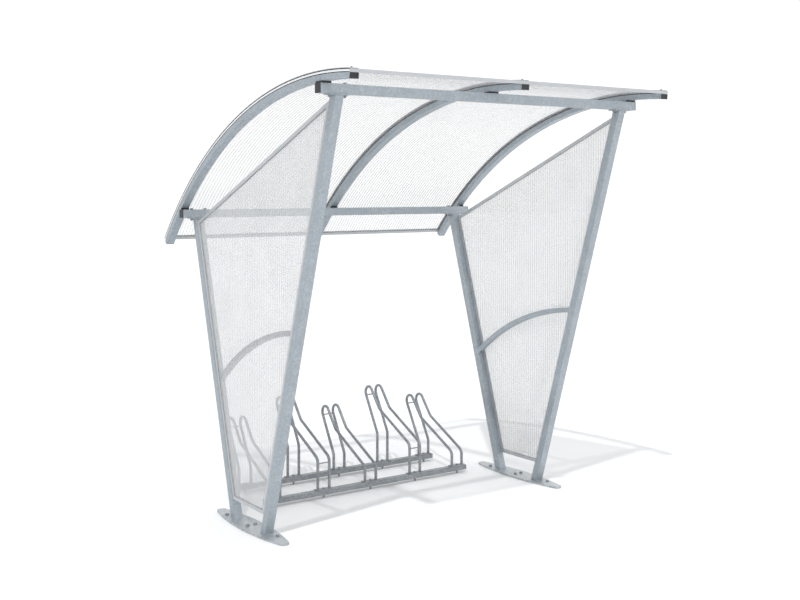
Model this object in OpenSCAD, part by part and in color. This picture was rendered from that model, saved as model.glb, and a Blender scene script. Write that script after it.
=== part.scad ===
// Bike shelter with curved roof, two V-shaped end frames and a five-place bike rack.
// Millimetres, +Z up. X runs along the shelter, the open front faces -Y, the rack stands towards +Y.
// Inside the modules Y is counted from the middle of the base plates. The last lines shift the
// whole model so that its origin is the middle of its footprint, on the floor.

/* [Overall] */
// Distance between the middle planes of the two end frames
frame_spacing = 2000; // [1700:10:2600]
// How far the roof runs past the middle plane of each end frame
roof_overhang = 105; // [92:1:160]
// How far the bare beams run past the middle plane of each end frame
beam_overhang = 111; // [98:1:170]

/* [Base plates] */
// Length of a base plate along Y
plate_len = 810; // [700:10:1000]
// Greatest width of a base plate
plate_w = 150; // [125:5:200]
// Thickness of a base plate
plate_t = 10; // [6:1:15]
// Radius of the rounded tips
plate_tip_r = 30; // [12:1:40]
// Diameter of the anchor holes
anchor_d = 14; // [10:1:18]
// Distance between two neighbouring anchor holes along Y
anchor_pitch = 262; // [200:2:320]
// Distance between the two rows of anchor holes along X
anchor_rows = 48; // [36:2:70]

/* [Posts and beams] */
// Side of the square tube of posts and beams
tube = 50; // [40:2:60]
// Wall of that tube
tube_wall = 3; // [2:0.5:5]
// Distance from the plate middle to each post's centreline at floor level
post_foot_y = 180; // [120:5:220]
// Distance forward to the centreline of the front beam
beam_front_y = 925; // [800:5:1100]
// Underside of the front beam
beam_front_z = 2400; // [2000:10:2900]
// Distance rearward to the centreline of the rear beam
beam_rear_y = 711; // [600:1:760]
// Thickness of the flange plates on the post heads
flange_t = 6; // [4:1:10]
// Length of a flange plate along X
flange_len = 124; // [110:2:160]
// Width of a flange plate along Y
flange_w = 60; // [50:2:80]
// Spacing of the two bolts in a flange
flange_bolts = 90; // [80:2:110]
// Diameter of the flange bolt holes
bolt_hole = 11; // [9:1:14]
// Diameter of the drain hole near a post's head
drain_d = 10; // [6:1:14]
// Distance of that hole below the head
drain_drop = 10; // [8:1:40]

/* [End caps] */
// Thickness of a cap's visible head
cap_t = 4; // [2:0.5:8]
// Depth of the plug inside the tube
plug_len = 18; // [10:1:30]
// Gap between a plug and the tube's inside
plug_gap = 0.3; // [0.2:0.1:0.6]

/* [Rafters and roof] */
// Width of the rafter tube along X
rafter_w = 50; // [40:2:60]
// Height of the rafter tube
rafter_h = 30; // [24:2:60]
// Wall of the rafter tube
rafter_wall = 3; // [2:0.5:4]
// Radius of the bend, at the underside of the rafters
bend_r = 2548; // [2100:2:3100]
// Distance from the plate middle forward to the highest point of the arc
crown_y = 976; // [930:1:1040]
// Angle of the arc in front of the crown
front_angle = 5.15; // [3:0.05:8]
// Angle of the arc behind the crown
rear_angle = 49.25; // [44:0.05:56]
// Rubber pad between a rafter and the front beam, at its thinnest
pad_t = 9.5; // [3:0.5:14]
// Play between curved layers that rest on each other
layer_play = 0.2; // [0.1:0.1:0.4]
// Length of a pad on the front beam, along X
pad_len = 62; // [50:2:80]
// Rubber pad between a rafter and the rear beam, at its thinnest
wedge_t = 4.5; // [3:0.5:10]
// Length of that pad along Y
wedge_len = 8; // [6:1:40]
// Lower gasket between rafter and sheet
gasket_t = 4; // [2:0.5:5]
// Gasket width
gasket_w = 44; // [30:2:50]
// Thickness of the multiwall roof sheet
sheet_t = 10; // [8:1:16]
// Gap between the two sheets over the middle rafter
sheet_gap = 12; // [6:1:20]
// Upper gasket between sheet and cover strip
seal_t = 5; // [4.5:0.5:6]
// Thickness of the cover strips
cover_t = 4; // [2:0.5:5]
// Height of the edge profiles
edge_h = 18; // [17:0.5:18]
// Depth of the front edge profile, measured along the sheet
edge_front = 14; // [12:1:50]
// Depth of the rear edge profile, measured along the sheet
edge_rear = 20; // [12:1:50]
// How far the rear edge profile stands back from the rafters' ends
edge_back = 7; // [0:1:20]
// Wall of the edge profiles
edge_wall = 2; // [1.5:0.5:2.5]

/* [Side panels] */
// Thickness of the side panel sheet
panel_t = 10; // [6:1:12]
// Play between a panel's faces and its channel
panel_side_play = 0.5; // [0.2:0.1:0.8]
// Depth of the U-channels
channel_d = 20; // [16:1:26]
// Wall of the U-channels
channel_wall = 2; // [1.5:0.5:3]
// Gap between panel and channel, at the bottom of the groove
panel_play = 3; // [1:0.5:5]
// Gap between a channel's back and the post it is screwed to
channel_seat = 0.2; // [0.1:0.1:1]
// How far panels and channels stand outward of the posts' middle
panel_offset = 15; // [0:1:17]
// Underside of the bottom channel above the floor
panel_foot_z = 120; // [90:2:200]
// Distance from the rear beam down to the top channel's middle, at the rear post
panel_rear_drop = 34; // [28:2:240]
// Distance from the front beam down to the top channel's middle, at the front post
panel_front_drop = 40; // [30:2:240]
// Side of the curved brace's square tube
brace_tube = 30; // [20:1:32]
// Wall of that tube
brace_wall = 2.5; // [2:0.5:4]
// Height of the brace's crown, at its centreline
brace_crown_z = 1160; // [900:2:1300]
// Distance from the plate middle forward to the brace's crown
brace_crown_y = 630; // [560:2:700]
// Bend radius of the brace, at its centreline
brace_r = 1610; // [1500:5:1800]

/* [Bike rack] */
// Distance between the wheel places
rack_pitch = 350; // [300:5:420]
// Spacing of the two hoops that hold one wheel
hoop_gauge = 83; // [76:1:96]
// Diameter of the hoop bar
bar_d = 18; // [14:1:20]
// Distance from the plate middle to the front rail
rail_front_y = 286; // [260:2:320]
// Distance between the two rails
rail_span = 381; // [340:1:420]
// Width of a rail
rail_w = 40; // [30:2:50]
// Height of a rail
rail_h = 30; // [24:2:40]
// Wall of a rail
rail_wall = 2.5; // [2:0.5:4]
// Rail overhang past the outer wheel places
rail_over = 67; // [62:1:90]
// Length of the bolt ends that the rack stands on
foot_h = 20; // [12:1:40]
// Thickness of the clamp plates
clamp_t = 5; // [4:1:8]
// Length of a clamp plate along X
clamp_len = 118; // [110:2:130]
// Diameter of the clamp bolt
clamp_bolt = 10; // [8:1:12]
// Height of the low hoops' round top above the rail, at its centreline
hoop_rise = 407; // [360:1:450]
// How far the middle of the round top stands behind the rear rail
hoop_lean = 104; // [80:1:130]
// Height of the front knee above the rail
knee_front_rise = 98; // [70:1:120]
// Height of the upper knee above the rail
knee_upper_rise = 273; // [230:1:290]
// Distance of the upper knee in front of the rear rail
knee_upper_y = 25; // [10:1:50]
// Height of the rear knee above the rail
knee_rear_rise = 102; // [70:1:130]
// How much higher the high hoops are
hoop_step = 97; // [60:1:130]
// Radius of the hoop's round top, at its centreline
hoop_top_r = 42; // [34:1:50]
// Radius of the other bends, at their centreline
hoop_bend_r = 45; // [30:1:60]
// Diameter of the cross rods between two hoops
rod_d = 8; // [6:1:12]
// Distance of the high hoops' front rod below their front knee
front_rod_drop = 30; // [24:1:45]

/* [Hidden] */
$fn = 64;

steel = "#b3bdc7";
black_plastic = "#2b2d30";
rubber = "#1e1f21";
clear_sheet = [0.90, 0.93, 0.95, 0.55];
alu = "#c3c9d0";

frame_x = frame_spacing / 2;
roof_width = frame_spacing + 2 * roof_overhang;
beam_len = frame_spacing + 2 * beam_overhang;
rack_places = 5;
rail_rear_y = rail_front_y + rail_span;
rail_len = (rack_places - 1) * rack_pitch + 2 * rail_over;
rail_top = foot_h + rail_h;
clamp_top = rail_top + clamp_t;
// Hexagons and holes, for each millimetre of bolt diameter
hex_corners = 1.7 / cos(30) * clamp_bolt;
clamp_head_h = 0.64 * clamp_bolt;
clamp_nut_h = 0.8 * clamp_bolt;
clamp_hole = 1.1 * clamp_bolt;
bar_fn = 20;
bend_fn = 72;
bend_swell = 0.1;
bend_over = 1;
// How far a cut runs on past the face where it leaves the solid
over = 1;

// The arc that rafters, sheets and strips share; its radii count outward from the rafter's underside
arc_fn = 720;
bend_y = -crown_y;
beam_front_top = beam_front_z + tube;
seat_y = -beam_front_y + tube / 2;
bend_z = beam_front_top + pad_t - sqrt(pow(bend_r, 2) - pow(seat_y - bend_y, 2));
r_tube = bend_r + rafter_h;
r_sheet = r_tube + gasket_t;
r_seal = r_sheet + sheet_t;
r_cover = r_seal + seal_t;
r_top = r_cover + cover_t;
edge_lift = 0.4;
r_edge = r_tube + edge_lift;
rafter_x = roof_width / 2 - rafter_w / 2;
phi_rear = 90 - rear_angle;
phi_front = 90 + front_angle;
// Where the web of each edge profile ends, counted along the sheet from the rafters' ends inward
web_front = edge_wall - cap_t;
web_rear = edge_wall + edge_back;
// Where the sheets stop, short of those webs
web_gap = 2;
sheet_stop_front = angle_for(web_front + web_gap);
sheet_stop_rear = angle_for(web_rear + web_gap);
// Where gaskets and seals stop, short of the profiles' mouths
mouth_gap = 1;
rubber_stop_front = angle_for(edge_front - cap_t + mouth_gap);
rubber_stop_rear = angle_for(edge_rear + edge_back + mouth_gap);

// The rear beam hangs under the rafters, a wedge pad's height below them
beam_rear_top = under_z(beam_rear_y + tube / 2) - wedge_t;
beam_rear_z = beam_rear_top - tube;
post_front_top = beam_front_z - flange_t;
post_rear_top = beam_rear_z - flange_t;
// Lean of each post: how far its centreline moves along Y for each millimetre of height
lean_front = (beam_front_y - post_foot_y) / beam_front_z;
lean_rear = (beam_rear_y - post_foot_y) / beam_rear_z;
post_half_front = tube / 2 * sqrt(1 + pow(lean_front, 2));
post_half_rear = tube / 2 * sqrt(1 + pow(lean_rear, 2));

channel_w = panel_t + 2 * (channel_wall + panel_side_play);
panel_front_z = beam_front_z - panel_front_drop;
panel_rear_z = beam_rear_z - panel_rear_drop;
// The brace's arc in degrees, a little longer than it is between the posts
brace_start = 30;
brace_sweep = 75;

// Outermost points along Y, for the origin
y_front = bend_y - (r_edge + edge_h) * sin(front_angle) - cap_t * cos(front_angle);
y_rear = bend_y + r_top * sin(rear_angle);
y_mid = (y_front + y_rear) / 2;

// Height of the rafters' underside
function under_z(y) = bend_z + sqrt(pow(bend_r - layer_play, 2) - pow(y - bend_y, 2));
// Angle that a length along the sheet takes up
function angle_for(length) = length / r_sheet * 180 / PI;

// Lines in the Y-Z plane are [point, direction]
function unit(v) = v / norm(v);
function left_of(v) = [-v[1], v[0]];
// The line moved sideways, to the left of its direction
function shifted(line, d) = [line[0] + d * left_of(unit(line[1])), line[1]];
function meet(a, b) =
    let (s = cross(b[0] - a[0], b[1]) / cross(a[1], b[1]))
    a[0] + s * a[1];
// The panel's outline runs clockwise as seen from +X: front post face, top, rear post face, bottom
line_front = [[-post_foot_y + post_half_front + channel_seat, 0], [-lean_front, 1]];
line_rear = [[post_foot_y - post_half_rear - channel_seat, 0], [-lean_rear, -1]];
top_front = meet(line_front, [[0, panel_front_z], [1, 0]]);
top_rear = meet(line_rear, [[0, panel_rear_z], [1, 0]]);
line_top = shifted([top_front, top_rear - top_front], channel_d / 2);
line_bottom = [[0, panel_foot_z], [-1, 0]];

// Extrudes an outline given in Y-Z along X, centred on x0
module across(points, t, x0 = 0) {
    translate([x0 - t / 2, 0, 0])
        rotate([90, 0, 90])
            linear_extrude(t) polygon(points);
}

// Puts a piece drawn for the right end frame, with +X outward, on the left or right side
module on_side(side) {
    translate([side * frame_x, 0, 0])
        mirror([side < 0 ? 1 : 0, 0, 0])
            children();
}

// Local frame of the roof's arc: X and Y are the world's Y and Z, and Z is the world's X
module on_arc() {
    translate([0, bend_y, bend_z])
        rotate([90, 0, 90])
            children();
}

// A bar of rectangular section along the arc, its width centred on x0
module arc_bar(r, h, w, x0, from = phi_rear, to = phi_front) {
    on_arc()
        rotate_extrude(angle = to - from, start = from, $fn = arc_fn)
            translate([r, x0 - w / 2])
                square([h, w]);
}

// ---- End frames ----

// A disc lens with rounded tips: two large arcs joined by tip circles
module lens(len, w, tip) {
    half = len / 2 - tip;
    // The big circle touches the tip circles and passes the plate's widest point
    big = (pow(half, 2) + pow(w / 2, 2) - pow(tip, 2)) / (2 * (w / 2 - tip));
    side_angle = asin(half / (big - tip));
    intersection() {
        translate([big - w / 2, 0]) circle(r = big, $fn = arc_fn);
        translate([w / 2 - big, 0]) circle(r = big, $fn = arc_fn);
        square([w, 2 * big * sin(side_angle)], center = true);
    }
    for (end = [-1, 1])
        translate([0, end * half]) circle(r = tip);
}

// The anchor holes stand in two rows, the left one running rearward and the right one forward
module base_plate(side) {
    color(steel)
        translate([side * frame_x, 0, 0])
            difference() {
                linear_extrude(plate_t) lens(plate_len, plate_w, plate_tip_r);
                for (row = [-1, 1], end = [0, 1])
                    translate([row * anchor_rows / 2, -row * end * anchor_pitch, -over])
                        cylinder(h = plate_t + 2 * over, d = anchor_d);
            }
}

// A leaning square tube, cut level at the plate and under its flange
module post(foot, lean, head_z) {
    slant = sqrt(1 + pow(lean, 2));
    function outline(half, z0, z1) = [
        [foot + lean * z0 - half, z0], [foot + lean * z0 + half, z0],
        [foot + lean * z1 + half, z1], [foot + lean * z1 - half, z1]];
    drain_z = head_z - drain_drop;
    difference() {
        across(outline(tube / 2 * slant, plate_t, head_z), tube);
        across(outline((tube / 2 - tube_wall) * slant, plate_t - over, head_z + over), tube - 2 * tube_wall);
        translate([-tube / 2 - over, foot + lean * drain_z, drain_z])
            rotate([0, 90, 0])
                cylinder(h = tube_wall + 2 * over, d = drain_d);
    }
}

module post_front(side) {
    color(steel) on_side(side) post(-post_foot_y, -lean_front, post_front_top);
}

module post_rear(side) {
    color(steel) on_side(side) post(post_foot_y, lean_rear, post_rear_top);
}

// Where the flange bolts stand, for children drawn at X = Y = 0
module at_flange_bolts(beam_y) {
    for (side = [-1, 1], end = [-1, 1])
        translate([side * frame_x + end * flange_bolts / 2, beam_y, 0])
            children();
}

module flange(beam_y, beam_z) {
    difference() {
        for (side = [-1, 1])
            translate([side * frame_x - flange_len / 2, beam_y - flange_w / 2, beam_z - flange_t])
                cube([flange_len, flange_w, flange_t]);
        at_flange_bolts(beam_y)
            translate([0, 0, beam_z - flange_t - over])
                cylinder(h = flange_t + 2 * over, d = bolt_hole);
    }
}

module post_flanges() {
    color(steel) {
        flange(-beam_front_y, beam_front_z);
        flange(beam_rear_y, beam_rear_z);
    }
}

// ---- Beams ----

module beam(beam_y, beam_z) {
    inner = tube - 2 * tube_wall;
    color(steel)
        difference() {
            translate([-beam_len / 2, beam_y - tube / 2, beam_z])
                cube([beam_len, tube, tube]);
            translate([-beam_len / 2 - over, beam_y - inner / 2, beam_z + tube_wall])
                cube([beam_len + 2 * over, inner, inner]);
            at_flange_bolts(beam_y)
                translate([0, 0, beam_z - over])
                    cylinder(h = tube + 2 * over, d = bolt_hole);
        }
}

// Closes a square tube that ends at X = 0 and comes from -X
module square_cap() {
    plug = tube - 2 * (tube_wall + plug_gap);
    translate([0, -tube / 2, 0]) cube([cap_t, tube, tube]);
    translate([-plug_len, -plug / 2, (tube - plug) / 2]) cube([plug_len, plug, plug]);
}

module beam_end_caps() {
    color(black_plastic)
        for (place = [[-beam_front_y, beam_front_z], [beam_rear_y, beam_rear_z]], side = [-1, 1])
            translate([side * beam_len / 2, place[0], place[1]])
                mirror([side < 0 ? 1 : 0, 0, 0])
                    square_cap();
}

// ---- Rafters ----

module rafter(x0) {
    inner_h = rafter_h - 2 * rafter_wall;
    inner_w = rafter_w - 2 * rafter_wall;
    color(steel)
        difference() {
            arc_bar(bend_r, rafter_h, rafter_w, x0);
            arc_bar(bend_r + rafter_wall, inner_h, inner_w, x0, phi_rear - over, phi_front + over);
        }
}

// Closes the front end (end = 1) or the rear end (end = -1) of a rafter
module rafter_cap(x0, end) {
    plug_h = rafter_h - 2 * (rafter_wall + plug_gap);
    plug_w = rafter_w - 2 * (rafter_wall + plug_gap);
    on_arc()
        rotate([0, 0, end > 0 ? phi_front : phi_rear])
            mirror([0, end > 0 ? 0 : 1, 0]) {
                translate([bend_r, 0, x0 - rafter_w / 2])
                    cube([rafter_h, cap_t, rafter_w]);
                translate([bend_r + (rafter_h - plug_h) / 2, -plug_len, x0 - plug_w / 2])
                    cube([plug_h, plug_len, plug_w]);
            }
}

module rafter_end_caps() {
    color(black_plastic)
        for (x0 = [-rafter_x, 0, rafter_x], end = [-1, 1])
            rafter_cap(x0, end);
}

// Rubber on a beam, from pad_y on, with its top along the rafter's underside
module pad(x0, pad_y, depth, w, beam_top) {
    outline = [[pad_y, beam_top], [pad_y + depth, beam_top],
        [pad_y + depth, under_z(pad_y + depth)], [pad_y, under_z(pad_y)]];
    across(outline, w, x0);
}

module rafter_pads() {
    color(rubber)
        for (x0 = [-rafter_x, 0, rafter_x]) {
            pad(x0, -beam_front_y - tube / 2, tube, pad_len, beam_front_top);
            pad(x0, beam_rear_y + tube / 2 - wedge_len, wedge_len, rafter_w, beam_rear_top);
        }
}

// One curved layer, resting with its play on the one below; it stops short of the rafters' ends
module layer(r, t, w, x0, stop_front = 0, stop_rear = 0) {
    arc_bar(r + layer_play, t - layer_play, w, x0, phi_rear + stop_rear, phi_front - stop_front);
}

module rafter_gaskets() {
    color(rubber)
        for (x0 = [-rafter_x, 0, rafter_x])
            layer(r_tube, gasket_t, gasket_w, x0, rubber_stop_front, rubber_stop_rear);
}

module cover_seals() {
    color(rubber)
        for (x0 = [-rafter_x, 0, rafter_x])
            layer(r_seal, seal_t, rafter_w, x0, rubber_stop_front, rubber_stop_rear);
}

module cover_strip(x0) {
    color(alu)
        layer(r_cover, cover_t, rafter_w, x0);
}

module roof_sheet(side) {
    w = roof_width / 2 - sheet_gap / 2;
    x0 = side * (sheet_gap / 2 + w / 2);
    color(clear_sheet)
        layer(r_sheet, sheet_t, w, x0, sheet_stop_front, sheet_stop_rear);
}

// A U that takes in the sheets' ends; front is how far its web stands past the rafters' ends
module roof_edge(end, front, depth) {
    inner_h = edge_h - 2 * edge_wall;
    color(alu)
        on_arc()
            rotate([0, 0, end > 0 ? phi_front : phi_rear])
                mirror([0, end > 0 ? 0 : 1, 0])
                    difference() {
                        translate([r_edge, front - depth, -roof_width / 2])
                            cube([edge_h, depth, roof_width]);
                        translate([r_edge + edge_wall, front - depth - over, -roof_width / 2 - over])
                            cube([inner_h, depth + over - edge_wall, roof_width + 2 * over]);
                    }
}

// Flush with the rafters' caps
module roof_edge_front() {
    roof_edge(1, cap_t, edge_front);
}

// Set back from the rafters' ends
module roof_edge_rear() {
    roof_edge(-1, -edge_back, edge_rear);
}

// ---- Side panels ----

// Where two lines cross, each moved into the panel by its own distance
function corner(a, inset_a, b, inset_b) = meet(shifted(a, -inset_a), shifted(b, -inset_b));
// The outline between the four lines, all moved in by the same distance
function panel_outline(inset) = [
    corner(line_front, inset, line_bottom, inset), corner(line_front, inset, line_top, inset),
    corner(line_rear, inset, line_top, inset), corner(line_rear, inset, line_bottom, inset)];
// A band along one line, from depth near to depth far, its ends cut along two other lines
function band(run, near, far, end_a, end_b, inset) = [
    corner(run, near, end_a, inset), corner(run, near, end_b, inset),
    corner(run, far, end_b, inset), corner(run, far, end_a, inset)];

module side_panel(side) {
    color(clear_sheet)
        on_side(side)
            across(panel_outline(channel_wall + panel_play), panel_t, panel_offset);
}

// A U-channel along one edge of the panel, with its ends cut at the given inset
module channel(side, run, end_a, end_b, inset) {
    color(alu)
        on_side(side)
            difference() {
                across(band(run, 0, channel_d, end_a, end_b, inset), channel_w, panel_offset);
                across(band(run, channel_wall, channel_d + over, end_a, end_b, inset - over),
                    channel_w - 2 * channel_wall, panel_offset);
            }
}

module channel_top(side) {
    channel(side, line_top, line_front, line_rear, 0);
}

module channel_bottom(side) {
    channel(side, line_bottom, line_front, line_rear, 0);
}

module channel_front(side) {
    channel(side, line_front, line_bottom, line_top, channel_d);
}

module channel_rear(side) {
    channel(side, line_rear, line_bottom, line_top, channel_d);
}

// The brace's arc as a square bar, flush with the inner faces of the posts or inset from there
module brace_bar(inset) {
    side_len = brace_tube - 2 * inset;
    translate([inset - tube / 2, -brace_crown_y, brace_crown_z - brace_r])
        rotate([90, 0, 90])
            rotate_extrude(angle = brace_sweep, start = brace_start, $fn = arc_fn)
                translate([brace_r - side_len / 2, 0])
                    square(side_len);
}

// A curved tube beside the panel, cut off along the faces of both posts
module brace(side) {
    color(steel)
        on_side(side)
            intersection() {
                difference() {
                    brace_bar(0);
                    brace_bar(brace_wall);
                }
                across(panel_outline(0), 2 * tube);
            }
}

// ---- Bike rack ----

function place_x(i) = (i - (rack_places + 1) / 2) * rack_pitch;

module rail(rail_y) {
    color(steel)
        difference() {
            translate([-rail_len / 2, rail_y - rail_w / 2, foot_h])
                cube([rail_len, rail_w, rail_h]);
            translate([-rail_len / 2 - over, rail_y - rail_w / 2 + rail_wall, foot_h + rail_wall])
                cube([rail_len + 2 * over, rail_w - 2 * rail_wall, rail_h - 2 * rail_wall]);
            for (i = [1:rack_places])
                translate([place_x(i), rail_y, foot_h - over])
                    cylinder(h = rail_h + 2 * over, d = clamp_hole);
        }
}

// Plate on the rail with its bolt, whose lower end is the rack's foot
module clamp() {
    translate([-clamp_len / 2, -rail_w / 2, rail_top])
        cube([clamp_len, rail_w, clamp_t]);
    translate([0, 0, clamp_top])
        cylinder(h = clamp_head_h, d = hex_corners, $fn = 6);
    cylinder(h = clamp_top, d = clamp_bolt);
    translate([0, 0, foot_h - clamp_nut_h])
        cylinder(h = clamp_nut_h, d = hex_corners, $fn = 6);
}

module rack_clamps() {
    color(steel)
        for (i = [1:rack_places], rail_y = [rail_front_y, rail_rear_y])
            translate([place_x(i), rail_y, 0])
                clamp();
}

// Straight piece of a hoop between two points, running a little way into the bends at its ends
module bar_straight(a, b) {
    translate([a[0], a[1], 0])
        rotate([0, 0, atan2(b[1] - a[1], b[0] - a[0])])
            rotate([0, 90, 0])
                cylinder(h = norm(b - a), d = bar_d, $fn = bar_fn);
}

// Round piece about centre o, from one angle to the other, a hair thicker than the straight ones
module bar_bend(o, r, from, to) {
    translate([o[0], o[1], 0])
        rotate_extrude(angle = to - from, start = from, $fn = bend_fn)
            translate([r, 0])
                circle(d = bar_d + bend_swell, $fn = bar_fn);
}

function turn(u, v) = atan2(cross(u, v), u * v);
// Length from a knee to the start of its bend
function trim(u, v) = hoop_bend_r * tan(abs(turn(u, v)) / 2);

// A bar through the given points, bent at each inner point and ending in the round top
module bar_run(points) {
    last = len(points) - 1;
    dirs = [for (i = [0:last - 1]) unit(points[i + 1] - points[i])];
    trims = [for (i = [0:last]) i == 0 || i == last ? 0 : trim(dirs[i - 1], dirs[i])];
    for (i = [0:last - 1])
        bar_straight(points[i] + (trims[i] - (i > 0 ? bend_over : 0)) * dirs[i],
            points[i + 1] - (trims[i + 1] - bend_over) * dirs[i]);
    for (i = [1:last - 1]) {
        bend = turn(dirs[i - 1], dirs[i]);
        side = sign(bend);
        start = points[i] - trims[i] * dirs[i - 1];
        o = start + side * hoop_bend_r * left_of(dirs[i - 1]);
        heading = atan2(dirs[i - 1][1], dirs[i - 1][0]) - side * 90;
        bar_bend(o, hoop_bend_r, heading + min(0, bend), heading + max(0, bend));
    }
}

// The point where a line from p touches the round top about o, on its front (side = 1) or rear
function touch(p, o, side) =
    let (d = norm(p - o), away = atan2(p[1] - o[1], p[0] - o[0]))
    let (a = away - side * acos(hoop_top_r / d))
    o + hoop_top_r * [cos(a), sin(a)];

// Points of a hoop in its own plane, where X is the world's Y and Y is the world's Z
function front_knee(lift) = [rail_front_y, rail_top + knee_front_rise + lift];
function upper_knee(lift) = [rail_rear_y - knee_upper_y, rail_top + knee_upper_rise + lift];
function rear_knee(lift) = [rail_rear_y, rail_top + knee_rear_rise + lift];
function top_middle(lift) = [rail_rear_y + hoop_lean, rail_top + hoop_rise + lift - hoop_top_r];
function front_touch(lift) = touch(upper_knee(lift), top_middle(lift), 1);
function rear_touch(lift) = touch(rear_knee(lift), top_middle(lift), -1);

// One hoop in its own plane: up at the front, round the top and down at the rear
module hoop(lift) {
    front = front_touch(lift);
    rear = rear_touch(lift);
    o = top_middle(lift);
    bar_run([[rail_front_y, clamp_top], front_knee(lift), upper_knee(lift), front]);
    bar_run([[rail_rear_y, clamp_top], rear_knee(lift), rear]);
    from = atan2(rear[1] - o[1], rear[0] - o[0]);
    to = atan2(front[1] - o[1], front[0] - o[0]);
    bar_bend(o, hoop_top_r, from, to < from ? to + 360 : to);
}

// Rod between the two hoops of a pair, at a point of the hoop's plane
module cross_rod(place) {
    translate([-hoop_gauge / 2, place[0], place[1]])
        rotate([0, 90, 0])
            cylinder(h = hoop_gauge, d = rod_d);
}

// Two hoops side by side; every second pair is a high one and has a front rod too
module hoop_pair(i) {
    high = i % 2 == 0;
    lift = high ? hoop_step : 0;
    color(steel)
        translate([place_x(i), 0, 0]) {
            for (end = [-1, 1])
                translate([end * hoop_gauge / 2, 0, 0])
                    rotate([90, 0, 90])
                        hoop(lift);
            cross_rod(rear_touch(lift));
            if (high)
                cross_rod(front_knee(lift) - [0, front_rod_drop]);
        }
}

// ---- Nodes ----

module placed() {
    translate([0, -y_mid, 0])
        children();
}

placed() base_plate(-1);  // base_plate_left
placed() base_plate(1);  // base_plate_right
placed() post_front(-1);  // post_front_left
placed() post_rear(-1);  // post_rear_left
placed() post_front(1);  // post_front_right
placed() post_rear(1);  // post_rear_right
placed() post_flanges();
placed() beam(-beam_front_y, beam_front_z);  // beam_front
placed() beam(beam_rear_y, beam_rear_z);  // beam_rear
placed() beam_end_caps();
placed() rafter(-rafter_x);  // rafter_left
placed() rafter(0);  // rafter_middle
placed() rafter(rafter_x);  // rafter_right
placed() rafter_end_caps();
placed() rafter_pads();
placed() rafter_gaskets();
placed() roof_sheet(-1);  // roof_sheet_left
placed() roof_sheet(1);  // roof_sheet_right
placed() cover_seals();
placed() cover_strip(-rafter_x);  // cover_strip_left
placed() cover_strip(0);  // cover_strip_middle
placed() cover_strip(rafter_x);  // cover_strip_right
placed() roof_edge_front();
placed() roof_edge_rear();
placed() side_panel(-1);  // side_panel_left
placed() side_panel(1);  // side_panel_right
placed() channel_front(-1);  // channel_front_left
placed() channel_rear(-1);  // channel_rear_left
placed() channel_top(-1);  // channel_top_left
placed() channel_bottom(-1);  // channel_bottom_left
placed() channel_front(1);  // channel_front_right
placed() channel_rear(1);  // channel_rear_right
placed() channel_top(1);  // channel_top_right
placed() channel_bottom(1);  // channel_bottom_right
placed() brace(-1);  // brace_left
placed() brace(1);  // brace_right
placed() rail(rail_front_y);  // rack_rail_front
placed() rail(rail_rear_y);  // rack_rail_rear
placed() rack_clamps();
placed() hoop_pair(1);  // hoop_pair_1
placed() hoop_pair(2);  // hoop_pair_2
placed() hoop_pair(3);  // hoop_pair_3
placed() hoop_pair(4);  // hoop_pair_4
placed() hoop_pair(5);  // hoop_pair_5
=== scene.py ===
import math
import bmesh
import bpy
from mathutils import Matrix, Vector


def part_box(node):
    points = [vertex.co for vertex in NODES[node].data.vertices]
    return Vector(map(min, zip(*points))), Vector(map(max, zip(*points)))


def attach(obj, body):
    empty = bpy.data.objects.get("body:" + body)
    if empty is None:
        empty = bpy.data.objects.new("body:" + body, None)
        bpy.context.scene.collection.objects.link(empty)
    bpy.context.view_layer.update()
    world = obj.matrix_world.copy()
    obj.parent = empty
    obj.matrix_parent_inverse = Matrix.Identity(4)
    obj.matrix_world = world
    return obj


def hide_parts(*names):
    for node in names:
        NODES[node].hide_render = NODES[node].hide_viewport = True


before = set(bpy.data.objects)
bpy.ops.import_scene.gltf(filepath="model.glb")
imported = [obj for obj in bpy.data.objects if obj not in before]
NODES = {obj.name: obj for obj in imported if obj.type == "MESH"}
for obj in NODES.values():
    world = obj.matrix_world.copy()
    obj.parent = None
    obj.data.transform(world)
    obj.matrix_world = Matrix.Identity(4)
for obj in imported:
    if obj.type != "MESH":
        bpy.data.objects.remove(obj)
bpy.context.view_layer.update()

# %% [markdown]
# The object is an open bike shelter: two V-shaped end frames of galvanised square tube, two
# beams, three curved rafters, a roof and two sides of clear twin-wall sheet, and a rack of
# paired wheel hoops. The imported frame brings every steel, aluminium, rubber and plastic part
# at its right place and size. This lesson adds what a frame of plain solids can't carry: the
# hollow sheet, the bolts, the screws, the weld beads and the finish of each surface.

# %% [markdown]
# Everything below is placed from the boxes of the frame's nodes. Two short helpers give a
# box's middle, and the outline that a leaning post leaves on the level plane at its foot or
# head.

# %% Reading places from the frame
MM = 0.001
LEVEL_WITHIN = 0.5 * MM


def middle(node):
    low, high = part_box(node)
    return (Vector(low) + Vector(high)) / 2


def end_rectangle(node, top):
    """The lowest and highest X and Y of a post's end, and the end's Z."""
    points = [v.co for v in NODES[node].data.vertices]
    level = (max if top else min)(p.z for p in points)
    end = [p for p in points if abs(p.z - level) < LEVEL_WITHIN]
    xs, ys = [p.x for p in end], [p.y for p in end]
    return min(xs), max(xs), min(ys), max(ys), level


for side in ("left", "right"):
    foot = end_rectangle("post_front_" + side, False)
    print(side, "front post stands on", [round(v, 3) for v in foot])

# %% [markdown]
# A camera sees the shelter from the left of its open front, at a standing person's height
# with a slightly long lens. The lens is level, so the posts' lean isn't mixed with falling
# lines, and a small shift lifts the picture instead of tilting the camera.

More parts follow.
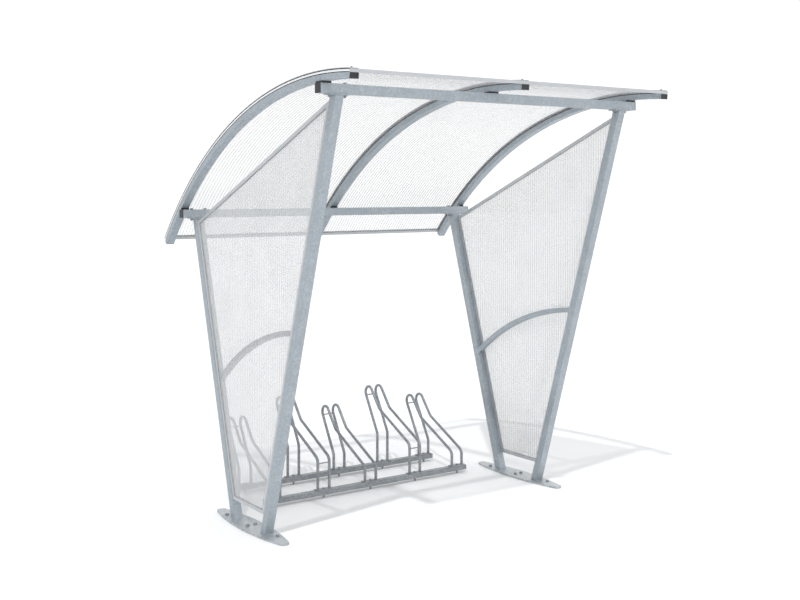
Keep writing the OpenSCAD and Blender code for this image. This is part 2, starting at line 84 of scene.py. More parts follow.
# %% Camera
EYE = Vector((-3.9474, -5.6864, 1.9301))  # from the middle between the base plates
TURN = 34.98
LENS_MM = 50.215
SENSOR_MM = 36
SHIFT = -0.1403
LEVEL = math.radians(90)
PLATE_Y = middle("base_plate_left").y
camera_data = bpy.data.cameras.new("camera")
camera_data.lens = LENS_MM
camera_data.sensor_width = SENSOR_MM
camera_data.shift_y = SHIFT
camera = bpy.data.objects.new("camera", camera_data)
camera.location = EYE + Vector((0, PLATE_Y, 0))
camera.rotation_euler = (LEVEL, 0, math.radians(-TURN))
bpy.context.collection.objects.link(camera)
bpy.context.scene.camera = camera
print("camera at", [round(v, 3) for v in camera.location])

# %% [markdown]
# Colours are written as sRGB hex, the way a paint or plating chart gives them, and one
# function turns them to the linear values that shaders work in. One more function adds a
# node: it takes the node's kind, its settings, and its inputs, where an input is either a
# plain value or another node's output.


# %% Colour and node helpers
def linear(hex_colour):
    parts = [int(hex_colour[i:i + 2], 16) / 255 for i in (1, 3, 5)]
    return [c / 12.92 if c <= 0.04045 else ((c + 0.055) / 1.055) ** 2.4 for c in parts] + [1.0]


def add(material, kind, settings=None, inputs=None, stops=()):
    """Adds one node with its settings, and fills or links its inputs. stops are the places and
    hex colours of a colour ramp."""
    tree = material.node_tree
    node = tree.nodes.new(kind)
    for name, value in (settings or {}).items():
        setattr(node, name, value)
    for name, value in (inputs or {}).items():
        if isinstance(value, bpy.types.NodeSocket):
            tree.links.new(value, node.inputs[name])
        else:
            node.inputs[name].default_value = value
    for i, (position, colour) in enumerate(stops):
        keys = node.color_ramp.elements
        key = keys[i] if i < len(keys) else keys.new(position)
        key.position, key.color = position, linear(colour)
    return node


def new_material(name):
    material = bpy.data.materials.new(name)
    material.use_nodes = True
    material.node_tree.nodes.clear()
    return material


def close_material(material, shader):
    add(material, "ShaderNodeOutputMaterial", None, {"Surface": shader.outputs["BSDF"]})
    print("material", material.name, "with", len(material.node_tree.nodes), "nodes")
    return material


def per_metre(size_mm):
    """Pattern scale that gives one cell every size_mm, as textures count in metres here."""
    return 1 / (size_mm * MM)


# %% [markdown]
# Galvanised steel is mild steel dipped in molten zinc. The zinc freezes in flat crystals, the
# spangle, a centimetre or so across, each mirroring the sky at a slightly different strength,
# and then dulls to a blue-grey. On thick tube the spangle is faint and cloudy. It is drawn as
# cells of slightly different grey and gloss, bent by a larger cloud of weathering, with a fine
# orange-peel bump and softened edges, because tube has rounded corners. The oxide film over
# the zinc scatters more light than it mirrors, so the shader counts as a little under half
# metal.


# %% Galvanised steel
def galvanised(name, dark, mid, light, spangle_mm, rough_low, rough_high):
    m = new_material(name)
    place = add(m, "ShaderNodeTexCoord").outputs["Object"]
    wobble = add(m, "ShaderNodeTexNoise", None,
                 {"Vector": place, "Scale": per_metre(2.5 * spangle_mm), "Detail": 3.0})
    sway = spangle_mm * MM
    bent = add(m, "ShaderNodeVectorMath", {"operation": "MULTIPLY_ADD"},
               {0: wobble.outputs["Color"], 1: (sway, sway, sway), 2: place})
    crystals = add(m, "ShaderNodeTexVoronoi", {"feature": "F1"},
                   {"Vector": bent.outputs["Vector"], "Scale": per_metre(spangle_mm)})
    shade = add(m, "ShaderNodeSeparateColor", None, {"Color": crystals.outputs["Color"]})
    cloud = add(m, "ShaderNodeTexNoise", None,
                {"Vector": place, "Scale": per_metre(90), "Detail": 5.0, "Roughness": 0.6})
    both = add(m, "ShaderNodeMix", None,
               {"Factor": 0.55, "A": shade.outputs["Red"], "B": cloud.outputs["Fac"]})
    colour = add(m, "ShaderNodeValToRGB", None, {"Fac": both.outputs["Result"]},
                 [(0.2, dark), (0.5, mid), (0.8, light)]).outputs["Color"]
    gloss = add(m, "ShaderNodeMapRange", None,
                {"Value": both.outputs["Result"], "To Min": rough_low, "To Max": rough_high})
    peel = add(m, "ShaderNodeTexNoise", None,
               {"Vector": place, "Scale": per_metre(3), "Detail": 2.0})
    edges = add(m, "ShaderNodeBevel", {"samples": 4}, {"Radius": 3 * MM})
    bump = add(m, "ShaderNodeBump", None,
               {"Strength": 0.12, "Distance": 0.3 * MM, "Height": peel.outputs["Fac"],
                "Normal": edges.outputs["Normal"]})
    shader = add(m, "ShaderNodeBsdfPrincipled", None,
                 {"Base Color": colour, "Roughness": gloss.outputs["Result"], "Metallic": 0.45,
                  "Normal": bump.outputs["Normal"]})
    return close_material(m, shader)


TUBE_ZINC = galvanised("galvanised_square_tube", "#9aa3aa", "#a6aeb4", "#b5bdc3", 9, 0.46, 0.6)
PLATE_ZINC = galvanised("galvanised_base_plate", "#9ca2a6", "#b0b5b9", "#c6cacc", 11, 0.3, 0.5)
RACK_ZINC = galvanised("galvanised_rack_bar", "#7f8387", "#93979b", "#a5a9ad", 8, 0.4, 0.56)

# %% [markdown]
# The U profiles and cover strips are extruded aluminium, natural anodised. Extruding leaves
# fine straight die lines along the length, and anodising turns the mirror into an even silver
# haze. The lines are a noise that is squeezed along the way each group of profiles runs, so
# every group has its own stretch.


# %% Anodised aluminium
def anodised_extrusion(name, stretch):
    m = new_material(name)
    place = add(m, "ShaderNodeTexCoord").outputs["Object"]
    along = add(m, "ShaderNodeMapping", None, {"Vector": place, "Scale": stretch})
    lines = add(m, "ShaderNodeTexNoise", None,
                {"Vector": along.outputs["Vector"], "Scale": per_metre(2), "Detail": 4.0})
    haze = add(m, "ShaderNodeTexNoise", None,
               {"Vector": place, "Scale": per_metre(120), "Detail": 3.0})
    both = add(m, "ShaderNodeMix", None,
               {"Factor": 0.4, "A": lines.outputs["Fac"], "B": haze.outputs["Fac"]})
    colour = add(m, "ShaderNodeValToRGB", None, {"Fac": both.outputs["Result"]},
                 [(0.3, "#b3b6b9"), (0.5, "#bfc2c5"), (0.7, "#cbcdd0")]).outputs["Color"]
    gloss = add(m, "ShaderNodeMapRange", None,
                {"Value": lines.outputs["Fac"], "To Min": 0.3, "To Max": 0.5})
    edges = add(m, "ShaderNodeBevel", {"samples": 4}, {"Radius": 0.8 * MM})
    bump = add(m, "ShaderNodeBump", None,
               {"Strength": 0.1, "Distance": 0.1 * MM, "Height": lines.outputs["Fac"],
                "Normal": edges.outputs["Normal"]})
    shader = add(m, "ShaderNodeBsdfPrincipled", None,
                 {"Base Color": colour, "Roughness": gloss.outputs["Result"], "Metallic": 0.75,
                  "Normal": bump.outputs["Normal"]})
    return close_material(m, shader)


ALONG_X = anodised_extrusion("anodised_edge_profile", (0.02, 1, 1))
ALONG_ROOF = anodised_extrusion("anodised_cover_strip", (1, 0.05, 0.15))
ALONG_SIDE = anodised_extrusion("anodised_side_channel", (1, 0.2, 0.06))

# %% [markdown]
# The caps are injection-moulded polyethylene, black with a fine spark-eroded grain, which
# gives a soft grey sheen. Gaskets, seals and pads are EPDM rubber, extruded: duller, and
# greyed by a faint bloom.


# %% Black polyethylene and EPDM rubber
def moulded(name, dark, light, grain_mm, rough, bump_mm):
    m = new_material(name)
    place = add(m, "ShaderNodeTexCoord").outputs["Object"]
    grain = add(m, "ShaderNodeTexNoise", None,
                {"Vector": place, "Scale": per_metre(grain_mm), "Detail": 3.0})
    bloom = add(m, "ShaderNodeTexNoise", None,
                {"Vector": place, "Scale": per_metre(40), "Detail": 4.0})
    colour = add(m, "ShaderNodeValToRGB", None, {"Fac": bloom.outputs["Fac"]},
                 [(0.35, dark), (0.7, light)]).outputs["Color"]
    gloss = add(m, "ShaderNodeMapRange", None,
                {"Value": grain.outputs["Fac"], "To Min": rough - 0.08, "To Max": rough + 0.1})
    bump = add(m, "ShaderNodeBump", None,
               {"Strength": 0.4, "Distance": bump_mm * MM, "Height": grain.outputs["Fac"]})
    shader = add(m, "ShaderNodeBsdfPrincipled", None,
                 {"Base Color": colour, "Roughness": gloss.outputs["Result"], "IOR": 1.51,
                  "Normal": bump.outputs["Normal"]})
    return close_material(m, shader)


CAP_PLASTIC = moulded("moulded_black_polyethylene", "#1c1d1f", "#2b2c2e", 1.2, 0.46, 0.15)
SEAL_RUBBER = moulded("extruded_epdm_rubber", "#2b2c2e", "#3a3b3d", 2.0, 0.72, 0.1)

# %% [markdown]
# The small self-drilling screws are zinc plated and passivated. Plating is smoother than
# hot-dip zinc. Small hexagons pick up dark surroundings, so their colour is painted darker than
# the tube as painted shade. Larger bolts and anchors are hot-dip galvanised and share the rack's
# finish.


# %% Plated bolt steel
def plated(name):
    m = new_material(name)
    place = add(m, "ShaderNodeTexCoord").outputs["Object"]
    patches = add(m, "ShaderNodeTexNoise", None,
                  {"Vector": place, "Scale": per_metre(6), "Detail": 4.0})
    # These colours are painted darker than the plating's own, as painted shade for the dark
    # surroundings that small hexagons reflect.
    colour = add(m, "ShaderNodeValToRGB", None, {"Fac": patches.outputs["Fac"]},
                 [(0.3, "#5d6166"), (0.6, "#7f848a"), (0.8, "#989da3")]).outputs["Color"]
    gloss = add(m, "ShaderNodeMapRange", None,
                {"Value": patches.outputs["Fac"], "To Min": 0.28, "To Max": 0.48})
    bump = add(m, "ShaderNodeBump", None,
               {"Strength": 0.15, "Distance": 0.1 * MM, "Height": patches.outputs["Fac"]})
    shader = add(m, "ShaderNodeBsdfPrincipled", None,
                 {"Base Color": colour, "Roughness": gloss.outputs["Result"], "Metallic": 1.0,
                  "Normal": bump.outputs["Normal"]})
    return close_material(m, shader)


BOLT_STEEL_PAINTED_DARK = plated("zinc_plated_bolt_painted_dark")

# %% [markdown]
# Twin-wall polycarbonate is two thin clear skins joined by ribs about 10.5 mm apart, extruded
# in one go. Each skin lets most light straight through and scatters a little, so what stands
# behind shows at about half strength. A small alpha on each skin and rib does that: a line of
# sight that crosses more plastic is dimmed more, and the flutes appear by themselves. Fine
# haze and handling marks vary the colour and gloss.


# %% Twin-wall polycarbonate
def polycarbonate(name, dark, light, alpha):
    m = new_material(name)
    place = add(m, "ShaderNodeTexCoord").outputs["Object"]
    haze = add(m, "ShaderNodeTexNoise", None,
               {"Vector": place, "Scale": per_metre(150), "Detail": 4.0})
    colour = add(m, "ShaderNodeValToRGB", None, {"Fac": haze.outputs["Fac"]},
                 [(0.3, dark), (0.7, light)]).outputs["Color"]
    gloss = add(m, "ShaderNodeMapRange", None,
                {"Value": haze.outputs["Fac"], "To Min": 0.18, "To Max": 0.34})
    shader = add(m, "ShaderNodeBsdfPrincipled", None,
                 {"Base Color": colour, "Roughness": gloss.outputs["Result"], "IOR": 1.58,
                  "Alpha": alpha})
    return close_material(m, shader)


ROOF_SKIN = polycarbonate("polycarbonate_roof_skin", "#ededee", "#f6f6f6", 0.1)
SIDE_SKIN = polycarbonate("polycarbonate_side_skin", "#dcdddd", "#e5e5e5", 0.2)
RIB_CLEAR = polycarbonate("polycarbonate_rib", "#c6c8c9", "#d2d3d4", 0.16)
SAWN_EDGE = polycarbonate("polycarbonate_sawn_edge", "#f2f3f3", "#fafafa", 0.9)

# %% [markdown]
# Each carried-over node takes its finish by name. The rack, the base plates and the frame all
# come out of the same zinc bath, but bar, plate and tube cool differently, so each has its own
# cut of the material.

# %% Finishes for the frame's nodes
FINISHES = [("base_plate", PLATE_ZINC), ("rack_clamps", RACK_ZINC), ("rack_rail", RACK_ZINC),
            ("hoop_pair", RACK_ZINC), ("beam_end_caps", CAP_PLASTIC),
            ("rafter_end_caps", CAP_PLASTIC), ("rafter_pads", SEAL_RUBBER),
            ("rafter_gaskets", SEAL_RUBBER), ("cover_seals", SEAL_RUBBER),
            ("cover_strip", ALONG_ROOF), ("roof_edge", ALONG_X), ("channel_", ALONG_SIDE),
            ("post_", TUBE_ZINC), ("beam_", TUBE_ZINC), ("rafter_", TUBE_ZINC),
            ("brace_", TUBE_ZINC)]
finished = 0
for name, thing in NODES.items():
    for start, material in FINISHES:
        if name.startswith(start):
            thing.data.materials.clear()
            thing.data.materials.append(material)
            finished += 1
            break
print(finished, "nodes of", len(NODES), "have a finish")


# %% [markdown]
# New pieces are made in mesh code and handed over in one place, which names the piece, gives
# it a material, and rides it on the frame's single body.


# %% Handing over a piece
def hand_over(name, mesh_maker, material, replaced=(), smooth_angle=30):
    bm = bmesh.new()
    mesh_maker(bm)
    bmesh.ops.recalc_face_normals(bm, faces=bm.faces)
    mesh = bpy.data.meshes.new(name)
    bm.to_mesh(mesh)
    bm.free()
    for one in material if isinstance(material, tuple) else (material,):
        mesh.materials.append(one)
    mesh.polygons.foreach_set("use_smooth", [smooth_angle > 0] * len(mesh.polygons))
    if smooth_angle > 0:
        mesh.set_sharp_from_angle(angle=math.radians(smooth_angle))
    piece = bpy.data.objects.new(name, mesh)
    bpy.context.collection.objects.link(piece)
    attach(piece, "root")
    if replaced:
        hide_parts(*replaced)
    print(name, len(mesh.polygons), "faces")
    return piece


# %% [markdown]
# A sheet of twin-wall is one closed skin with a long closed cell between every two ribs. Both
# are prisms: the skin is the sheet's outline swept through its thickness, and a cell is a
# smaller outline swept the same way. A prism is made from two matching rings of points, so one
# function serves the flat sides and, with more rings, the curved roof. The real ribs stand
# 10.5 mm apart, which is too fine to show, so FLUTE draws them at twice that pitch.


# %% Rings and prisms
def sweep(bm, rings, finishes=None):
    """Joins rings of points into a closed skin and caps both ends. finishes gives the material
    number of each side of the ring and, last, of the caps."""
    rows = [[bm.verts.new(p) for p in ring] for ring in rings]
    number = finishes or [0] * (len(rows[0]) + 1)
    for a, b in zip(rows, rows[1:]):
        for i in range(len(a)):
            j = (i + 1) % len(a)
            bm.faces.new((a[i], a[j], b[j], b[i])).material_index = number[i]
    bm.faces.new(rows[0]).material_index = number[-1]
    bm.faces.new(reversed(rows[-1])).material_index = number[-1]


SKIN_FACE, RIB_FACE, SAWN_FACE = 0, 1, 2
SKIN = 0.7 * MM
RIB = 0.6 * MM
RIB_PITCH = 10.5 * MM
FLUTE = 2 * RIB_PITCH

# %% [markdown]
# The roof's sheets follow the rafters' arc. Its centre is found from the frame: the top of a
# rafter gives the height and the rear end of a cover strip gives the depth, with the radii
# and the end angle that the rafters were bent to.

# %% The roof's arc
RAFTER_TOP_R = 2578 * MM
STRIP_TOP_R = 2601 * MM
SHEET_TOP_R = 2592 * MM
SHEET_LOW_R = 2582.2 * MM
REAR_END = math.radians(49.25)
ARC_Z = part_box("rafter_left")[1][2] - RAFTER_TOP_R
ARC_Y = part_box("cover_strip_left")[1][1] - STRIP_TOP_R * math.sin(REAR_END)
ROOF_STEPS = 60
print("arc centre", round(ARC_Y, 4), round(ARC_Z, 4))


def on_arc(x, radius, angle):
    """A point of the roof. The angle counts from the crown, positive towards the rear."""
    return Vector((x, ARC_Y + radius * math.sin(angle), ARC_Z + radius * math.cos(angle)))


def arc_prism(bm, x0, x1, r0, r1, start, end, upright, steps=ROOF_STEPS):
    """A bar along the arc. upright is the material number of its two side faces."""
    rings = []
    for i in range(steps + 1):
        a = start + (end - start) * i / steps
        rings.append([on_arc(x0, r0, a), on_arc(x1, r0, a), on_arc(x1, r1, a), on_arc(x0, r1, a)])
    sweep(bm, rings, [SKIN_FACE, upright, SKIN_FACE, upright, SAWN_FACE])


# %% [markdown]
# A roof sheet is bent cold over the rafters with its flutes running front to rear, so each
# cell is a thin bar that follows the same arc between the two skins. Water runs off the ends.


# %% Roof sheets
def roof_sheet(side):
    low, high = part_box("roof_sheet_" + side)
    start = math.asin((low[1] - ARC_Y) / SHEET_TOP_R)
    end = math.asin((high[1] - ARC_Y) / SHEET_TOP_R)
    cells = round((high[0] - low[0]) / FLUTE)
    pitch = (high[0] - low[0] - RIB) / cells

    def make(bm):
        arc_prism(bm, low[0], high[0], SHEET_LOW_R, SHEET_TOP_R, start, end, SAWN_FACE)
        inner = SKIN / SHEET_TOP_R
        for i in range(cells):
            x = low[0] + RIB + i * pitch
            arc_prism(bm, x, x + pitch - RIB, SHEET_LOW_R + SKIN, SHEET_TOP_R - SKIN,
                      start + inner, end - inner, RIB_FACE)

    node = "roof_sheet_" + side
    hand_over("twinwall_roof_" + side, make, (ROOF_SKIN, RIB_CLEAR, SAWN_EDGE),
              (node,))


for side in ("left", "right"):
    roof_sheet(side)


# %% [markdown]
# The side sheets stand with their flutes upright, so that water drains out of them. Their
# edges lean with the posts and slope with the roof, so each cell is the sheet's outline,
# moved in by a skin's width and cut to a strip between two ribs.


# %% Cutting an outline to a strip
def cut(points, y, keep_above):
    """The part of a convex outline, given as (y, z), on one side of an upright line."""
    kept = []
    for a, b in zip(points, points[1:] + points[:1]):
        inside_a, inside_b = (a[0] >= y) == keep_above, (b[0] >= y) == keep_above
        if inside_a:
            kept.append(a)
        if inside_a != inside_b:
            t = (y - a[0]) / (b[0] - a[0])
            kept.append((y, a[1] + t * (b[1] - a[1])))
    return kept


def shrunk(points, distance):
    """A convex outline with each side moved in by a distance."""
    cy = sum(p[0] for p in points) / len(points)
    cz = sum(p[1] for p in points) / len(points)
    lines = []
    for a, b in zip(points, points[1:] + points[:1]):
        along = (Vector(b) - Vector(a)).normalized()
        inward = Vector((-along.y, along.x))
        if inward.dot(Vector((cy, cz)) - Vector(a)) < 0:
            inward.negate()
        lines.append((Vector(a) + inward * distance, along))
    corners = []
    for (p, d), (q, e) in zip([lines[-1]] + lines[:-1], lines):
        t = ((q - p).x * e.y - (q - p).y * e.x) / (d.x * e.y - d.y * e.x)
        corners.append(tuple(p + d * t))
    return corners


def outline_of(node):
    """The corners of a flat sheet as (y, z), in order round its middle."""
    corners = {(round(v.co.y, 5), round(v.co.z, 5)) for v in NODES[node].data.vertices}
    cy = sum(c[0] for c in corners) / len(corners)
    cz = sum(c[1] for c in corners) / len(corners)
    return sorted(corners, key=lambda c: math.atan2(c[1] - cz, c[0] - cy))


# %% [markdown]
# A side sheet is cut flat and slid into its channels. The two big faces are skin, the cells
# between them are ribs, and the rim is the sawn edge, which looks whiter where saw teeth
# have frosted it. Flat faces need no smoothing.


# %% Side sheets
def side_sheet(side):
    node = "side_panel_" + side
    low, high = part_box(node)
    outline = outline_of(node)
    inside = shrunk(outline, SKIN)
    y0, y1 = min(p[0] for p in inside), max(p[0] for p in inside)
    cells = round((y1 - y0) / FLUTE)
    pitch = (y1 - y0 + RIB) / cells

    def flat_prism(bm, points, x0, x1, rim):
        rings = [[(x, y, z) for y, z in points] for x in (x0, x1)]
        sweep(bm, rings, [rim] * len(points) + [SKIN_FACE])

    def make(bm):
        flat_prism(bm, outline, low[0], high[0], SAWN_FACE)
        for i in range(cells):
            y = y0 + i * pitch
            cell = cut(cut(inside, y, True), y + pitch - RIB, False)
            if len(cell) > 2:
                flat_prism(bm, cell, low[0] + SKIN, high[0] - SKIN, RIB_FACE)

    hand_over("twinwall_side_" + side, make, (SIDE_SKIN, RIB_CLEAR, SAWN_EDGE),
              (node,), 0)


for side in ("left", "right"):
    side_sheet(side)


# %% [markdown]
# Bolts, nuts and washers are turned parts: a profile of (height, radius, flats) steps spun
# round an axis. A step with a width over flats follows a hexagon, held back by its radius,
# which draws the round chamfer and leaves the curved corners that a real bolt head has.


# %% Turned and hexagonal parts
SIDES = 36
HEX_STRAIGHT = 0.82  # share of a head's height below its chamfer
HEX_SHOULDER = (0.93, 0.54)  # height share, and radius as a share of the width over flats
HEX_FACE = 0.47  # radius of the flat face as a share of the width over flats
WASHER_EDGE = 0.2  # share of a washer's thickness that its rounded edge takes
WASHER_RIM = 0.96  # radius of the rounded edge as a share of the washer's
THREAD_DEPTH = 0.5  # as a share of the pitch
TIP = 0.4  # radius of a bolt's tip as a share of its diameter


def hex_radius(flats, angle):
    sector = math.radians(60)
    return flats / 2 / math.cos((angle + sector / 2) % sector - sector / 2)


def turned(bm, base, axis, profile):
    """Spins (height, radius, flats) steps round the axis. With flats, the step is a hexagon."""
    turn = Vector((0, 0, 1)).rotation_difference(Vector(axis)).to_matrix()
    rings = []
    for height, radius, flats in profile:
        ring = []
        for i in range(SIDES):
            a = 2 * math.pi * i / SIDES
            r = min(radius, hex_radius(flats, a)) if flats else radius
            ring.append(Vector(base) + turn @ Vector((r * math.cos(a), r * math.sin(a), height)))
        rings.append(ring)
    sweep(bm, rings)


def hex_body(bm, base, axis, flats, height):
    """A hexagon with a chamfer at its outer face."""
    corner = flats / 2 / math.cos(math.radians(30))
    shoulder, shoulder_r = HEX_SHOULDER
    turned(bm, base, axis, [(0, corner, flats), (HEX_STRAIGHT * height, corner, flats),
                            (shoulder * height, shoulder_r * flats, flats),
                            (height, HEX_FACE * flats, None)])


def washer(bm, base, axis, radius, thickness):
    rim = WASHER_RIM * radius
    edge = WASHER_EDGE * thickness
    turned(bm, base, axis, [(0, rim, None), (edge, radius, None),
                            (thickness - edge, radius, None), (thickness, rim, None)])


def threaded(bm, base, axis, diameter, length, pitch):
    """A bolt's end with its thread drawn as rings and a chamfered tip."""
    turns = max(1, round(length / pitch))
    profile = []
    for i in range(turns):
        profile.append((i * pitch, diameter / 2, None))
        profile.append(((i + 0.5) * pitch, diameter / 2 - THREAD_DEPTH * pitch, None))
    profile.append((turns * pitch, TIP * diameter, None))
    turned(bm, base, axis, profile)


UP, DOWN = (0, 0, 1), (0, 0, -1)

# %% [markdown]
# Four M10 bolts hold each beam on the flanges of its two posts. Their heads sit on the beam,
# the shanks run through it, and the nuts with a short end of thread show under the flanges.

# %% Flange bolts
FLANGE_BOLT = 10 * MM
FLANGE_REACH = 45 * MM
FLANGE_PLATE = 6 * MM
WASHER_R = 10 * MM
WASHER_T = 2 * MM
BOLT_FLATS = 17 * MM
HEAD_H = 6.4 * MM
NUT_H = 8 * MM
THREAD_END = 3 * MM
THREAD_PITCH = 1.5 * MM


def flange_bolts(beam):
    low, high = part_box(beam)
    y = (low[1] + high[1]) / 2

    def make(bm):
        for post in (-1, 1):
            frame_x = post * abs(middle("base_plate_left").x)
            for x in (frame_x - FLANGE_REACH, frame_x + FLANGE_REACH):
                washer(bm, (x, y, high[2]), UP, WASHER_R, WASHER_T)
                hex_body(bm, (x, y, high[2] + WASHER_T), UP, BOLT_FLATS, HEAD_H)
                under = low[2] - FLANGE_PLATE
                washer(bm, (x, y, under), DOWN, WASHER_R, WASHER_T)
                hex_body(bm, (x, y, under - WASHER_T), DOWN, BOLT_FLATS, NUT_H)
                threaded(bm, (x, y, under - WASHER_T - NUT_H), DOWN, FLANGE_BOLT, THREAD_END,
                         THREAD_PITCH)

    hand_over("flange_bolts_" + beam, make, RACK_ZINC)


for beam in ("beam_front", "beam_rear"):
    flange_bolts(beam)

# %% [markdown]
# Each base plate is held down by four M12 ground anchors in two staggered rows. Only their
# washers and heads stand above the plate.

# %% Ground anchors
ANCHOR_PITCH = 262 * MM
ANCHOR_ROW = 24 * MM
ANCHOR_PLACES = [(-1, 1), (-1, 0), (1, 0), (1, -1)]  # row along X, step along Y
ANCHOR_WASHER_R = 12 * MM
ANCHOR_WASHER_T = 2.5 * MM
ANCHOR_FLATS = 18 * MM
ANCHOR_HEAD_H = 7.5 * MM


def ground_anchors(side):
    spot = middle("base_plate_" + side)
    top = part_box("base_plate_" + side)[1][2]

    def make(bm):
        for row, step in ANCHOR_PLACES:
            at = (spot.x + row * ANCHOR_ROW, spot.y + step * ANCHOR_PITCH, top)
            washer(bm, at, UP, ANCHOR_WASHER_R, ANCHOR_WASHER_T)
            head = (at[0], at[1], top + ANCHOR_WASHER_T)
            hex_body(bm, head, UP, ANCHOR_FLATS, ANCHOR_HEAD_H)

    hand_over("ground_anchors_" + side, make, RACK_ZINC)


for side in ("left", "right"):
    ground_anchors(side)

# %% [markdown]
# A self-drilling screw with a sealing washer clamps each cover strip at its front and rear
# end. The heads are hexagons of 8 mm on a 14 mm washer, standing square to the arc.

# %% Cover screws
SCREW_BACK = 26 * MM
SCREW_WASHER_R = 7 * MM
SCREW_WASHER_T = 1.5 * MM
SCREW_FLATS = 8 * MM
SCREW_HEAD_H = 4.5 * MM


def cover_screws(name):
    low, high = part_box("cover_strip_" + name)
    front = math.asin((low[1] - ARC_Y) / STRIP_TOP_R)
    step = SCREW_BACK / STRIP_TOP_R
    x = (low[0] + high[0]) / 2

    def make(bm):
        for angle in (front + step, REAR_END - step):
            out = on_arc(0, 1, angle) - on_arc(0, 0, angle)
            base = on_arc(x, STRIP_TOP_R, angle)
            washer(bm, base, out, SCREW_WASHER_R, SCREW_WASHER_T)
            hex_body(bm, base + out * SCREW_WASHER_T, out, SCREW_FLATS, SCREW_HEAD_H)

    hand_over("cover_screws_" + name, make, BOLT_STEEL_PAINTED_DARK)


for name in ("left", "middle", "right"):
    cover_screws(name)

# %% [markdown]
# A fillet weld is drawn as a bead: a thin closed tube swept along the joint, whose radius
# swells and shrinks with the ripple that a welder's hand leaves every few millimetres. Square
# tube needs a rectangular path and round bar a circle.

# %% Weld beads
BEAD = 3.2 * MM
BEAD_STEP = 1.6 * MM
RIPPLE = 4 * MM
BEAD_MEAN = 0.9  # this and the sizes below are shares of the bead's radius
RIPPLE_SIZE = 0.12
DRIFT = 1.7  # a slower, uneven swell, in radians for each step
DRIFT_SIZE = 0.05
BEAD_SIDES = 8
BEAD_LIFT = BEAD / 3  # how far a bead's middle stands clear of the plate


def bead(bm, path):
    """A closed rippled tube along a closed path of points."""
    count = len(path)
    rings = []
    for i, point in enumerate(path):
        along = (path[(i + 1) % count] - path[i - 1]).normalized()
        side = along.cross(Vector(UP)).normalized()
        lift = side.cross(along)
        ripple = RIPPLE_SIZE * math.sin(2 * math.pi * i * BEAD_STEP / RIPPLE)
        r = BEAD * (BEAD_MEAN + ripple + DRIFT_SIZE * math.sin(DRIFT * i))
        ring = []
        for k in range(BEAD_SIDES):
            a = 2 * math.pi * k / BEAD_SIDES
            ring.append(bm.verts.new(point + (side * math.cos(a) + lift * math.sin(a)) * r))
        rings.append(ring)
    for a, b in zip(rings, rings[1:] + rings[:1]):
        for k in range(BEAD_SIDES):
            n = (k + 1) % BEAD_SIDES
            bm.faces.new((a[k], a[n], b[n], b[k]))


def rectangle_path(x0, x1, y0, y1, z):
    corners = [Vector((x0, y0, z)), Vector((x1, y0, z)), Vector((x1, y1, z)), Vector((x0, y1, z))]
    path = []
    for a, b in zip(corners, corners[1:] + corners[:1]):
        steps = round((b - a).length / BEAD_STEP)
        path += [a.lerp(b, i / steps) for i in range(steps)]
    return path


def circle_path(x, y, z, radius):
    steps = round(2 * math.pi * radius / BEAD_STEP)
    turns = [2 * math.pi * i / steps for i in range(steps)]
    return [Vector((x + radius * math.cos(a), y + radius * math.sin(a), z)) for a in turns]


# %% [markdown]
# The posts are welded to their base plates and flanges before the dip, so each of these
# joints has a fillet under the zinc. In the rack, a ring lies on the rail's top below each
# foot of a hoop. The clamp's plate covers it and the foot starts on that plate, 5 mm higher,
# so the rings are inside the joint and don't show.


# %% Post and rack welds
def post_welds(side):
    def make(bm):
        for post in ("post_front_", "post_rear_"):
            for top in (False, True):
                x0, x1, y0, y1, z = end_rectangle(post + side, top)
                z += -BEAD_LIFT if top else BEAD_LIFT
                bead(bm, rectangle_path(x0, x1, y0, y1, z))

    hand_over("post_welds_" + side, make, TUBE_ZINC)


for side in ("left", "right"):
    post_welds(side)

HOOP_R = 9 * MM


def rack_welds(bm):
    """A ring of weld on the rail's top, inside the clamp, below each foot of a hoop."""
    for hoop in sorted(name for name in NODES if name.startswith("hoop_pair")):
        low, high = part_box(hoop)
        for rail in sorted(name for name in NODES if name.startswith("rack_rail")):
            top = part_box(rail)[1][2]
            for x in (low[0] + HOOP_R, high[0] - HOOP_R):
                bead(bm, circle_path(x, middle(rail).y, top, HOOP_R))


hand_over("rack_welds", rack_welds, RACK_ZINC)

# %% [markdown]
# The stage is a sheet of matt white paper, large enough that its edge is lost in the distance.
# It lies a hair below the base plates, so that no two faces share a plane.

# %% Stage
HALF_FLOOR = 60
FLOOR_DROP = 0.5 * MM
floor_mesh = bpy.data.meshes.new("floor")
corners = [(-1, -1), (1, -1), (1, 1), (-1, 1)]
floor_mesh.from_pydata([(HALF_FLOOR * x, HALF_FLOOR * y, -FLOOR_DROP) for x, y in corners], [],
                       [(0, 1, 2, 3)])
floor = bpy.data.objects.new("floor", floor_mesh)
bpy.context.collection.objects.link(floor)
paper = new_material("studio_paper")
close_material(paper, add(paper, "ShaderNodeBsdfPrincipled", None,
                          {"Base Color": linear("#f6f6f6"), "Roughness": 0.9}))
floor_mesh.materials.append(paper)

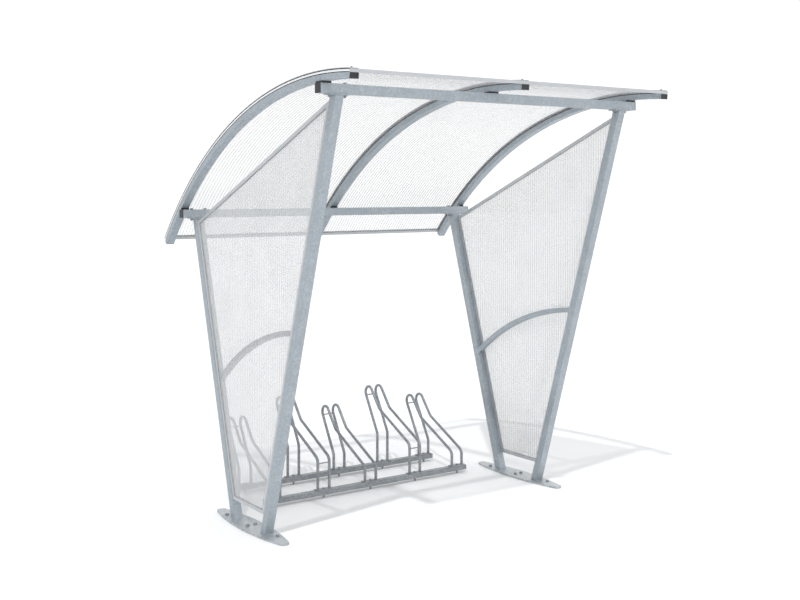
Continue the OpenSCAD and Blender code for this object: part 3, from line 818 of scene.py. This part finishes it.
# %% [markdown]
# Light comes from a bright room and from one high lamp at the front left, whose soft-edged
# shadows fall to the rear right. The room is darker on the left, so that the tubes' left
# faces mirror a deeper blue-grey. Its horizon stays white all round, so that it meets the
# paper without a line. A line of sight through the roof and both sides crosses many thin
# clear faces, so the renderer is allowed that many before it gives up.

# %% Light
ROOM_STRENGTH = 1.1
LAMP_STRENGTH = 1.5
LAMP_WIDTH = math.radians(1.6)
FALL = Vector((0.49, 0.405, -1))  # the way the lamp's rays travel
CLEAR_FACES = 64
world = bpy.data.worlds.new("studio")
bpy.context.scene.world = world
world.use_nodes = True
world.node_tree.nodes.clear()
direction = add(world, "ShaderNodeTexCoord").outputs["Generated"]
across = add(world, "ShaderNodeSeparateXYZ", None, {"Vector": direction})
side_light = add(world, "ShaderNodeMapRange", None,
                 {"Value": across.outputs["X"], "From Min": -0.6, "From Max": 0.1,
                  "To Min": 0.0, "To Max": 1.0})
horizon = add(world, "ShaderNodeMapRange", None,
              {"Value": across.outputs["Z"], "From Min": 0.12, "From Max": 0.35,
               "To Min": 1.0, "To Max": 0.0})
bright = add(world, "ShaderNodeMath", {"operation": "MAXIMUM"},
             {0: side_light.outputs["Result"], 1: horizon.outputs["Result"]})
room = add(world, "ShaderNodeValToRGB", None, {"Fac": bright.outputs["Value"]},
           [(0.0, "#8a929b"), (1.0, "#ffffff")]).outputs["Color"]
glow = add(world, "ShaderNodeBackground", None, {"Color": room, "Strength": ROOM_STRENGTH})
add(world, "ShaderNodeOutputWorld", None, {"Surface": glow.outputs["Background"]})
bpy.context.scene.view_settings.view_transform = "Standard"
bpy.context.scene.cycles.transparent_max_bounces = CLEAR_FACES

lamp_data = bpy.data.lights.new("high_lamp", "SUN")
lamp_data.energy = LAMP_STRENGTH
lamp_data.angle = LAMP_WIDTH
lamp = bpy.data.objects.new("high_lamp", lamp_data)
lamp.location = -4 * FALL
lamp.rotation_euler = FALL.to_track_quat("-Z", "Y").to_euler()
bpy.context.collection.objects.link(lamp)
print("lamp height above the floor", round(math.degrees(math.asin(1 / FALL.length)), 1), "degrees")
